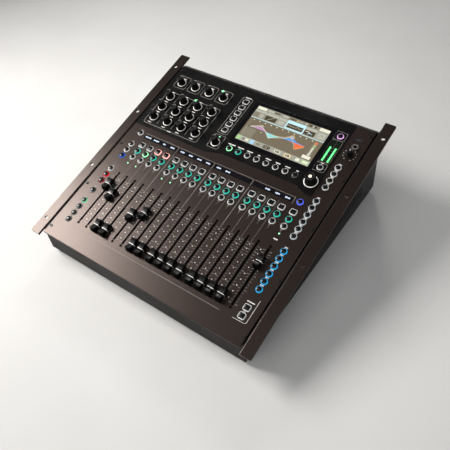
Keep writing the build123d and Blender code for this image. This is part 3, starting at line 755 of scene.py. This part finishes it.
def print_legends():
    """Bars that stand for the legends of the outer keys."""
    for spot in spots["left_buttons"]:
        surface.bar(spot.x, spot.y + 8.2, 5.0, 1.0, GREY)
    for bank in ("soft_buttons", "layer_buttons", "assign_buttons"):
        for spot in spots[bank]:
            if spot.x > 180:
                surface.bar(spot.x + 0.5, spot.y + 7.6, 6.5, 1.7)
    surface.bar(channels[-1], 182, 8, 2.4, WHITE, 0.5)


def print_corner():
    """Border along the front that turns up round the two corner keys."""
    keys = [s for s in spots["function_buttons"] if s.x > 0]
    x = keys[0].x
    surface.line((-177, BORDER), (156, BORDER), 0.8, GREY)
    surface.bar(x + 1, keys[-1].y + 10.2, 14, 1.9)
    surface.bar(x, (keys[0].y + keys[-1].y) / 2, 5, 1.2, WHITE, 0.3)
    route = [(x + 12.5, 78), (x + 12.5, BORDER + 2.5), (x + 10, BORDER), (x - 12, BORDER)]
    for start, end in zip(route, route[1:]):
        surface.line(start, end, 0.7)


def print_strips():
    """Lines over and between the strip displays."""
    for low, high in strips:
        x, y = high.x + 2, high.y + 2.6
        surface.line((low.x, y), (x, y), 0.7, GREY)
        surface.line((x, low.y - 3), (x, y), 0.8, GREY)


def print_phones_scale():
    """Dots round the headphone level knob."""
    phones = knob_at("phones_knob")
    for k in range(11):
        a = math.radians(-60 + 30 * k)
        surface.dot(phones.x + 11.5 * math.cos(a), phones.y + 11.5 * math.sin(a), 0.8)


print_channels()
print_scales()
print_legends()
print_corner()
print_strips()
print_phones_scale()
add("surface_print", surface.bm, INKS[:3], STATIC)

# ---- painted shade bands round the fader slots, and their end screws ----
SLOT_MIDDLE = 107.0
FADER_SCREW_ROWS = (47.1, 166.5)
DOME = [(2.5, -0.02), (2.5, 0.1), (2.35, 0.5), (1.9, 0.7), (0.9, 0.75), (0.75, 0.58)]
slot_shade_and_screws = bmesh.new()
for x in channels:
    rim, lip = rounded(x, SLOT_MIDDLE, 4.0, 114, 1.9, 4), rounded(x, SLOT_MIDDLE, 2.4, 112, 1.2, 4)
    # black band round the slot: painted shade that makes the slot look deeper and wider
    band(slot_shade_and_screws, rim, lip, -0.6, 0.06)
    for y in FADER_SCREW_ROWS:
        revolve(slot_shade_and_screws, x, y, DOME, 24)
add("slot_painted_shade_bands", slot_shade_and_screws, [BLACK_AND_PAINTED_SHADE], STATIC)

# ---- headphone jack and memory socket ----
middles = [((low + high) / 2, high) for low, high in islands("audio_sockets")]
JACK, MEMORY = sorted(((middle.x, middle.y) for middle, high in middles
                       if high.z > 0 and middle.x > 180 and middle.y < 430), key=lambda place: place[1])
jack = bmesh.new()
nut(jack, *JACK, 6.9, 0.02, 2.35)
tube(jack, *JACK, 4.9, 3.2, 1.5, 2.9)
tube(jack, *JACK, 3.3, 2.7, -6.0, 1.6, 1)
add("phones_jack_nut", jack, [CONTACT, BLACK_AND_PAINTED_SHADE], STATIC)
socket = bmesh.new()
band(socket, rounded(*MEMORY, 13.6, 6.6, 0.8, 4), rounded(*MEMORY, 12.2, 5.2, 0.4, 4), -6, 0.5)
bar(socket, MEMORY[0], MEMORY[1] + 0.9, 11, 1.7, -6, 0.1, 1, 0.2)
for k in range(4):
    bar(socket, MEMORY[0] - 3.9 + 2.6 * k, MEMORY[1] - 0.1, 1.2, 0.5, -5, -0.1, 0, 0.1)
add("memory_socket_shell", socket, [CONTACT, SOCKET], STATIC)

# ---- rear sockets: a across (seen from behind), b up, c out of the rear plate ----
back_face = max(v.co.y for v in nodes["rear_panel"].data.vertices) / MM
REAR = WORLD @ Matrix(((-1, 0, 0, 0), (0, 0, 1, back_face), (0, 1, 0, 0), (0, 0, 0, 1)))
TO_REAR = REAR.inverted()
MIC_PINS = ((-4, 2), (4, 2), (0, -4))
ROW_MIDDLE = 90.0
metal, plastic = bmesh.new(), bmesh.new()
rear = Print(0.01, 0.08)


def input_socket(a, b):
    """Microphone input: three sleeves, a collar and a release tab."""
    for da, db in MIC_PINS:
        tube(metal, a - da, b + db, 1.28, 0.8, -5.8, -0.6, steps=16)
    tube(plastic, a, b, 11.4, 9.65, 1.5, 2.2)
    bar(plastic, a, b + 12.6, 6.4, 2.6, 1.5, 2.3, 0, 0.8)
    bar(metal, a, b + 12.6, 3.2, 0.8, 2.2, 2.38, 0, 0.3)


def output_socket(a, b):
    """Line output: three pins in a metal shell with a key."""
    for da, db in MIC_PINS:
        pin(metal, a - da, b + db, 1.32, -13, -3.6)
    tube(metal, a, b, 9.95, 9.42, -3.0, 1.9)
    bar(plastic, a, b - 8.6, 3.0, 2.2, -8, 1.2, 0, 0.4)


def socket_screws(a, b):
    """Two screws at opposite corners, each with a dark line of painted shade for its slot, and the legend
    above or below.
    """
    for side in (-1, 1):
        x, y = a + side * 10.2, b + side * 12.6
        pin(metal, x, y, 1.5, 1.5, 2.2)
        # the screw slot is not cut: a black line paints its shade
        line(rear.bm, (x - 1, y), (x + 1, y), 0.4, 2.1, 2.24, 1)
    rear.bar(a, b + (18.2 if b > ROW_MIDDLE else -18.2), 9, 1.5)


def line_jack(a, b):
    """Quarter inch jack with its nut and sleeve."""
    nut(metal, a, b, 7.1, 0.05, 1.85)
    tube(metal, a, b, 5.2, 3.3, 1.0, 2.36)
    rear.bar(a, b + (10.2 if b > 105 else -10.2), 8, 1.2)


def network_socket(a, b):
    """Eight gold contacts in a metal shell with two lamps."""
    band(metal, rounded(a, b, 13.9, 11.9, 0.6, 3), rounded(a, b, 11.9, 8.5, 0.4, 3), -8, 0.75)
    for k in range(8):
        bar(metal, a - 4.4 + 1.257 * k, b + 3.4, 0.55, 0.9, -11, -1.4, 1, 0.1)
    for side in (-1, 1):
        bar(rear.bm, a + side * 4.4, b - 5.0, 2.0, 1.0, 0.74, 0.82, 2, 0.2)
    rear.bar(a, b - 8.4, 8, 1.2)


def mains_inlet(a, b):
    """Three blades in a framed recess between two screws."""
    for da, db in ((7, -2), (-7, -2), (0, 3)):
        bar(metal, a + da, b + db, 2.3, 4.3, -16, -5.6, 0, 0.4)
    for side in (-1, 1):
        pin(metal, a + side * 17.4, b, 1.7, 1.7, 2.35)
    band(plastic, rounded(a, b, 28, 20.4, 3, 5), rounded(a, b, 24.8, 17.2, 2, 5), 1.7, 2.3)
    rear.bar(a, b - 16, 16, 1.5)


def rocker_frame(a, b):
    """Frame round the power rocker."""
    band(plastic, rounded(a, b, 14.5, 25.0, 1.6, 4), rounded(a, b, 10.2, 21.4, 0.8, 4), 1.7, 2.3)
    rear.bar(a, b + 17, 9, 1.5)


for low, high in islands("audio_sockets", TO_REAR):
    a, b = centre_of(low, high)
    wide, tall = high.x - low.x, high.y - low.y
    if high.z < 0:
        continue
    if wide > 24 and tall > 28:
        (input_socket if a > 0 else output_socket)(a, b)
        socket_screws(a, b)
    elif abs(wide - tall) < 1:
        line_jack(a, b)
    elif wide < 15:
        network_socket(a, b)
    elif wide > 30:
        mains_inlet(a, b)
    else:
        rocker_frame(a, b)

plate_low, plate_high = extent("rear_panel", TO_REAR)
low_row, high_row = plate_low.y + 7, plate_high.y - 22
plate_screws = [(a, b) for a in (plate_low.x + 7, plate_high.x - 7) for b in (low_row, high_row)]
for a, b in plate_screws + [(-60, low_row), (60, low_row)]:
    revolve(metal, a, b, [(3.0, 0.02), (3.0, 0.5), (2.6, 0.95), (1.6, 1.2), (1.3, 0.8)], 28, slot=2)
for a0, a1 in ((4, 208), (-119, 0)):
    rear.frame(a0, a1, 51, 135, 0.5, 0, 4)
add("rear_contacts", metal, [CONTACT, GOLD, SCREW], STATIC, place=REAR)
add("rear_trims", plastic, [SOCKET], STATIC, place=REAR)
add("rear_print", rear.bm, [INK_DIM, BLACK_AND_PAINTED_SHADE, LIGHTS["led_off"]], STATIC, place=REAR)

# ---- strip displays, meters and indicator lamps ----
windows = islands("display_windows")
LAMPS = ["led", "led_off", "green"]
ON, OFF, GREEN = range(3)
SIGNALS = (0, 1, 4, 5, 16)     # channels whose signal lamp is lit
METER_STEP, METER_LIT = 3.05, 33.0


def lamp_state(x, y):
    """The lamp over the side knob is green, and a channel's lamp follows SIGNALS."""
    if y > 280:
        return GREEN
    near = min(range(len(channels)), key=lambda i: abs(channels[i] - x))
    return ON if near in SIGNALS else OFF


def window_glass(bm, x, y, width, length, low, high):
    plate(bm, lambda d: rounded(x, y, width - 2 * d, length - 2 * d, 0.6 - d / 2, 3), low, high, 0.15)


def meter(bm, low, high):
    """Sixteen segments, lit up to the level."""
    x, width = (low.x + high.x) / 2, high.x - low.x - 0.8
    for k in range(16):
        y = low.y + 1.6 + METER_STEP * k
        lit = y < low.y + METER_LIT
        bar(bm, x, y, width, 2.3, high.z - 0.01, high.z + 0.05, 0 if lit else 1, 0.3)
        if lit:
            bar(bm, x, y, width * 0.5, 1.5, high.z + 0.05, high.z + 0.08, 2, 0.3)


glass, lamps, meters = bmesh.new(), bmesh.new(), bmesh.new()
for low, high in windows:
    x, y = centre_of(low, high)
    width, length = high.x - low.x, high.y - low.y
    if width < 3:
        dome = [(1.3, low.z), (1.3, high.z - 0.35), (1.1, high.z - 0.1), (0.6, high.z), (0.1, high.z + 0.02)]
        revolve(lamps, x, y, dome, 24, slot=lamp_state(x, y))
        continue
    window_glass(glass, x, y, width, length, low.z, high.z)
    if length > 30:
        meter(meters, low, high)
add("display_glass", glass, [WINDOW], STATIC, ["display_windows"])
add("indicator_lamps", lamps, [LIGHTS[n] for n in LAMPS], STATIC, ["display_windows"])

strip_text = glow("strip_text", (0.72, 0.82, 1.0), 1.0, (0.1, 0.12, 0.15), 0.35, 0.1)
strip_glow = glow("strip_glow", (0.0003, 0.0004, 0.002), 1.0, (0.001, 0.001, 0.002), 0.6, 0.05)
STRIP_TOP = strips[0][1].z
STRIP_MIDDLE = (strips[0][0].y + strips[0][1].y) / 2
NAME_WIDTHS = {0: 14, 1: 13, 2: 7, 3: 9}
NAMED = (*range(10), 13, 14, 15)     # channels that show a name
labels = bmesh.new()
for low, high in strips:
    x, y = centre_of(low, high)
    bar(labels, x, y, high.x - low.x - 1.6, high.y - low.y - 1.4, STRIP_TOP - 0.01, STRIP_TOP + 0.03, 1, 0.4)
for i in NAMED:
    wide = NAME_WIDTHS.get(i, 9.5)
    part = wide / 4
    for k in range(4):
        x = channels[i] - wide / 2 + part * (k + 0.5)
        tall = 3.4 - 0.5 * ((i + k) % 3)
        bar(labels, x, STRIP_MIDDLE, part * 0.8, tall, STRIP_TOP + 0.03, STRIP_TOP + 0.06, 0, 0.3)
add("strip_labels", labels, [strip_text, strip_glow], STATIC)

meter_off = glow("meter_off", (0.01, 0.10, 0.02), 0.1, (0.004, 0.012, 0.005), 0.3, 0.1)
meter_core = glow("meter_core", (0.42, 1.0, 0.68), 1.6, (0.1, 0.2, 0.15), 0.3, 0.1)
add("meter_segments", meters, [LIGHTS["meter"], meter_off, meter_core], STATIC)

# ---- touch screen picture ----
SHADES = {"ground": (0.20, 0.165, 0.11), "light": (0.40, 0.40, 0.335), "pale": (0.52, 0.52, 0.44),
          "white": (0.92, 0.90, 0.72), "dark": (0.085, 0.065, 0.036), "cyan": (0.62, 0.93, 1.0),
          "pink": (0.56, 0.31, 0.52), "aqua": (0.35, 0.76, 0.74), "blue": (0.15, 0.37, 0.76),
          "orange": (0.97, 0.20, 0.075), "leaf": (0.44, 0.69, 0.31), "sky": (0.45, 0.71, 0.88),
          "mid": (0.27, 0.24, 0.18), "gold": (0.80, 0.52, 0.20)}
SHADE_SLOTS = {name: slot for slot, name in enumerate(SHADES)}
W, H = 153.5, 86.5
screen_low, screen_high = extent("touch_screen")
screen_x, screen_y = centre_of(screen_low, screen_high)
left, bottom = screen_x - 76.8, screen_y - 43.0
picture = bmesh.new()


# Places in the picture are in millimetres from its lower left corner; a higher level lies over a lower.
def area(x0, x1, y0, y1, name, level, corner=0.3):
    z = GLASS + 0.02 * level
    x, y = left + (x0 + x1) / 2, bottom + (y0 + y1) / 2
    bar(picture, x, y, x1 - x0, y1 - y0, z - 0.015, z, SHADE_SLOTS[name], corner)


def areas(rows):
    for row in rows:
        area(*row)


def stroke(points, wide, name, level):
    z = GLASS + 0.02 * level
    for (xa, ya), (xb, yb) in zip(points, points[1:]):
        line(picture, (left + xa, bottom + ya), (left + xb, bottom + yb), wide, z - 0.015, z,
             SHADE_SLOTS[name])


def fill(points, name, level):
    """Flat shape inside a closed outline."""
    z = GLASS + 0.02 * level
    turning = sum(a[0] * b[1] - b[0] * a[1] for a, b in zip(points, points[1:] + points[:1]))
    ordered = points if turning > 0 else points[::-1]
    outline = [(left + px, bottom + py) for px, py in ordered]
    loft(picture, [(outline, z - 0.015), (outline, z)], SHADE_SLOTS[name])


def title_bar():
    areas([(0, W, 78.5, H, "mid", 2), (0, 54, 78.5, H, "light", 2), (0.8, 20, 79.5, 85.5, "white", 3),
           (24, 36, 80.5, 84.5, "pale", 3), (37, 51, 80.5, 84.5, "mid", 3), (38.5, 49, 81.4, 83.4, "dark", 4),
           (55, 68, 80.0, 85.2, "pale", 3), (70, 101, 80.5, 84.5, "mid", 3), (72, 84, 81.2, 83.6, "dark", 4),
           (86, 88.5, 81.0, 84.0, "gold", 4), (90, 99, 81.2, 83.6, "light", 4), (103, 107, 80, 85, "pale", 3),
           (111, 126, 80.5, 84.5, "dark", 3), (118, 121.5, 80, 85, "pale", 4),
           (W - 20.5, W - 0.6, 79.2, H - 0.4, "white", 3)])


def processing_tabs():
    """Row of tabs with a small picture in each; the lit one is the equaliser."""
    area(0, W, 57.8, 78.5, "light", 2)
    for x0, x1, low, high, name in ((0.8, 12, 60, 71.5, "mid"), (12.8, 24, 60, 71.5, "mid"),
                                    (26, 50, 60.4, 71.4, "dark"), (52.5, 69, 60, 71.5, "light"),
                                    (109.5, 131, 60.4, 71.4, "dark")):
        area(x0, x1, low, high, name, 3)
        area(x0, x1, 72.3, 77.5, "pale", 3)
    areas([(1, 8, 61, 67, "mid", 4), (14, 22, 61, 70, "pale", 4), (55, 66, 62, 70, "pale", 4, 1.5),
           (70.5, 108.5, 59, 78.6, "cyan", 3, 1.0), (73, 106, 61.5, 71.6, "dark", 4),
           (132.5, W - 1, 60, 77.5, "light", 3), (136, 150, 62, 75, "pale", 4, 1.5)])
    stroke([(15, 63), (17.5, 67.5), (20, 64)], 0.8, "mid", 5)
    stroke([(33, 63), (38, 66), (43, 70), (45, 70)], 0.9, "pale", 4)
    stroke([(74, 66), (78, 68.5), (82, 66), (86, 67), (91, 66), (95, 69), (99, 66), (104, 67)],
           1.0, "pale", 5)
    stroke([(112, 68), (117, 68.5), (121, 66)], 1.4, "white", 4)
    stroke([(117, 63), (121, 66), (126, 65)], 1.4, "sky", 4)
    stroke([(139, 66), (143, 71), (147, 66)], 0.9, "mid", 5)
    area(0, W, 57.0, 58.2, "cyan", 4, 0.1)


ZERO_LINE = 36.0


def grid():
    area(3.5, 28, 12.6, 33, "mid", 2)
    for k in range(11):
        area(8.6 + 12.4 * k, 11.0 + 12.4 * k, 52.4, 54.2, "white", 3)
    for k in range(8):
        area(4.4, 6.2, 15.0 + 5.0 * k, 16.2 + 5.0 * k, "pale", 3)
    for k in range(7):
        stroke([(4, 16 + 5.6 * k), (130, 16 + 5.6 * k)], 0.18, "mid", 2)
    for k in range(10):
        stroke([(12 + 12.4 * k, 12), (12 + 12.4 * k, 53)], 0.18, "mid", 2)


def hump(points, name, level):
    """Filled part of the curve between it and the zero line."""
    fill([(points[0][0], ZERO_LINE)] + points + [(points[-1][0], ZERO_LINE)], name, level)


def handle(x, y):
    """The round handle on the curve."""
    for outer, inner, name in ((4.6, 3.9, "gold"), (2.6, 1.7, "white")):
        band(picture, circle(left + x, bottom + y, outer, 32), circle(left + x, bottom + y, inner, 32),
             GLASS + 0.125, GLASS + 0.14, SHADE_SLOTS[name])


def curves():
    hump([(12, 36.2), (22, 39.5), (32, 45), (41, 39.5), (49, 36.2)], "pink", 4)
    hump([(46, 36), (52, 29.5), (57, 25), (63, 29.5), (76, 36)], "aqua", 4)
    hump([(74, 36), (86, 39), (92, 44), (97, 46.5), (102, 43), (109, 38.5), (127, 36.2)], "blue", 4)
    hump([(92, 36), (106, 34.5), (110, 29.5), (114, 23.5), (120, 28.5), (127, 34.5)], "orange", 5)
    stroke([(12, 35.8), (22, 39), (32, 44.6), (41, 39), (50, 32), (57, 25.2), (63, 29), (76, 34.4),
            (86, 38), (93, 44.5)], 0.9, "white", 6)
    stroke([(93, 44.5), (97, 43), (103, 36), (109, 30)], 1.0, "pale", 6)
    stroke([(60, 34.8), (76, 37), (86, 40.6), (92, 45.5), (97, 47.6), (103, 44)], 0.8, "gold", 6)
    stroke([(108, 29), (113, 22.8), (120, 27.6), (127, 34)], 0.9, "gold", 6)
    stroke([(12, 37), (32, 47), (36, 45)], 0.7, "white", 6)
    handle(97, 45.5)
    dot(picture, left + 38.5, bottom + 31, 1.3, GLASS + 0.1, GLASS + 0.14, SHADE_SLOTS["leaf"])


def level_column():
    """Level steps at the right of the graph, with two peak marks and a fader mark."""
    area(138.4, 146.6, 20, 54, "mid", 3, 0.8)
    for k in range(11):
        area(140.8, 143.8 + 0.12 * k, 21 + 2.4 * k, 22.7 + 2.4 * k, "white" if k < 8 else "leaf", 4, 0.3)
    areas([(140.8, 145.2, 47.6, 50.4, "orange", 4, 0.4), (140.8, 145.4, 51, 53.2, "orange", 4, 0.4),
           (139.4, 145.2, 22, 26, "pale", 4, 0.5), (133, W - 4.5, 13.2, 20.2, "white", 3, 0.5)])


def status_bar():
    areas([(0, W, 0, 11.2, "light", 2), (0.8, 9.5, 0.8, 10.4, "leaf", 3), (10.5, 29, 0.8, 10.4, "pale", 3),
           (30, 38.5, 0.8, 10.4, "sky", 3), (13, 18, 2.5, 8.5, "mid", 4), (20, 26, 3.5, 7.5, "white", 4),
           (44, 52, 3.2, 8, "mid", 3, 1.5), (126, 134, 2.4, 8.6, "white", 3, 1.2),
           (136, W - 0.8, 0.8, 10.4, "pale", 3), (138, 152, 2, 9.4, "leaf", 4, 0.6),
           (140, 150, 3.6, 7.8, "white", 5, 0.6)])
    for x0, rim, inside in ((58, "dark", "mid"), (81, "pale", "white"), (102, "gold", "white")):
        areas([(x0, x0 + 15, 1.6, 9.6, rim, 3, 3.0), (x0 + 1.8, x0 + 13.2, 2.6, 8.6, inside, 4, 2.2),
               (x0 + 3.2, x0 + 11.8, 3.6, 7.6, "dark", 5, 1.6), (x0 + 5, x0 + 8.6, 4.7, 6.5, "pale", 6, 0.8)])


area(0, W, 0, H, "ground", 1)
title_bar()
processing_tabs()
grid()
curves()
level_column()
status_bar()
screen_lights = [glow("screen_" + n, c, 0.97, shade(c, 0.02), 0.3, 0.1) for n, c in SHADES.items()]
add("screen_picture", picture, screen_lights, STATIC)

# ---- camera, light and floor ----
CAMERA_PLACE = (486.6, -147.6, 796.2)      # in the surface frame
CAMERA_TURN = (41.9575, 4.7581, 35.3842)   # degrees about X, Y and Z
camera = bpy.data.objects.new("camera", bpy.data.cameras.new("camera"))
bpy.context.scene.collection.objects.link(camera)
bpy.context.scene.camera = camera
camera.location = SURFACE @ Vector(CAMERA_PLACE)
camera.rotation_euler = [math.radians(angle) for angle in CAMERA_TURN]
camera.data.sensor_width = 36.0
camera.data.lens = 44.94
camera.data.shift_y = -0.0222
camera.data.clip_start = 0.01
bpy.context.scene.view_settings.view_transform = "Standard"


def lamp(name, place, target, size, power, colour=(1, 1, 1), length=None, spread=180):
    light = bpy.data.lights.new(name, "AREA")
    light.shape, light.size, light.size_y = "RECTANGLE", size, length or size
    light.energy, light.color, light.spread = power, colour, math.radians(spread)
    item = bpy.data.objects.new(name, light)
    bpy.context.scene.collection.objects.link(item)
    item.location = place
    item.rotation_euler = (Vector(target) - Vector(place)).to_track_quat("-Z", "Y").to_euler()


world = bpy.data.worlds.new("studio")
bpy.context.scene.world = world
world.use_nodes = True
sky = world.node_tree.nodes["Background"]
sky.inputs["Color"].default_value = (0.92, 0.95, 1.0, 1)
sky.inputs["Strength"].default_value = 0.16
lamp("sheen_light", (-1.35, -0.36, 1.16), (0.0, -0.12, 0.08), 0.8, 18, (1.0, 0.965, 0.935), 0.8, 100)
lamp("top_light", (0.3, -1.9, 2.3), (0, 0, 0.0), 2.4, 36, (1.0, 0.99, 0.97))
lamp("rim_light", (1.7, 0.55, 0.75), (0, 0.05, 0.1), 0.8, 6, (0.97, 0.98, 1.0), 0.4)
lamp("back_light", (-0.75, 1.55, 1.0), (0, 0.0, 0.1), 0.4, 2.5, (1.0, 0.98, 0.96), 0.3, 90)

FLOOR_SIZE, FLOOR_THICKNESS = 6000.0, 20.0
floor_mesh = bmesh.new()
floor_outline = rounded(0, 0, FLOOR_SIZE, FLOOR_SIZE, 200, 4)
loft(floor_mesh, [(floor_outline, -FLOOR_THICKNESS), (floor_outline, 0)])
mesh = bpy.data.meshes.new("floor")
floor_mesh.transform(Matrix.Translation((0, 0, cad_box[0][2])) @ WORLD)
floor_mesh.to_mesh(mesh)
floor_mesh.free()
floor_paint = plain("floor_pale", (0.52, 0.52, 0.512), 0.75, 0, 3, 200, 0.05, 0.03, Specular_IOR_Level=0.2)
mesh.materials.append(floor_paint)
floor = bpy.data.objects.new("floor", mesh)
bpy.context.scene.collection.objects.link(floor)

# ---- update the scene ----
bpy.context.view_layer.update()
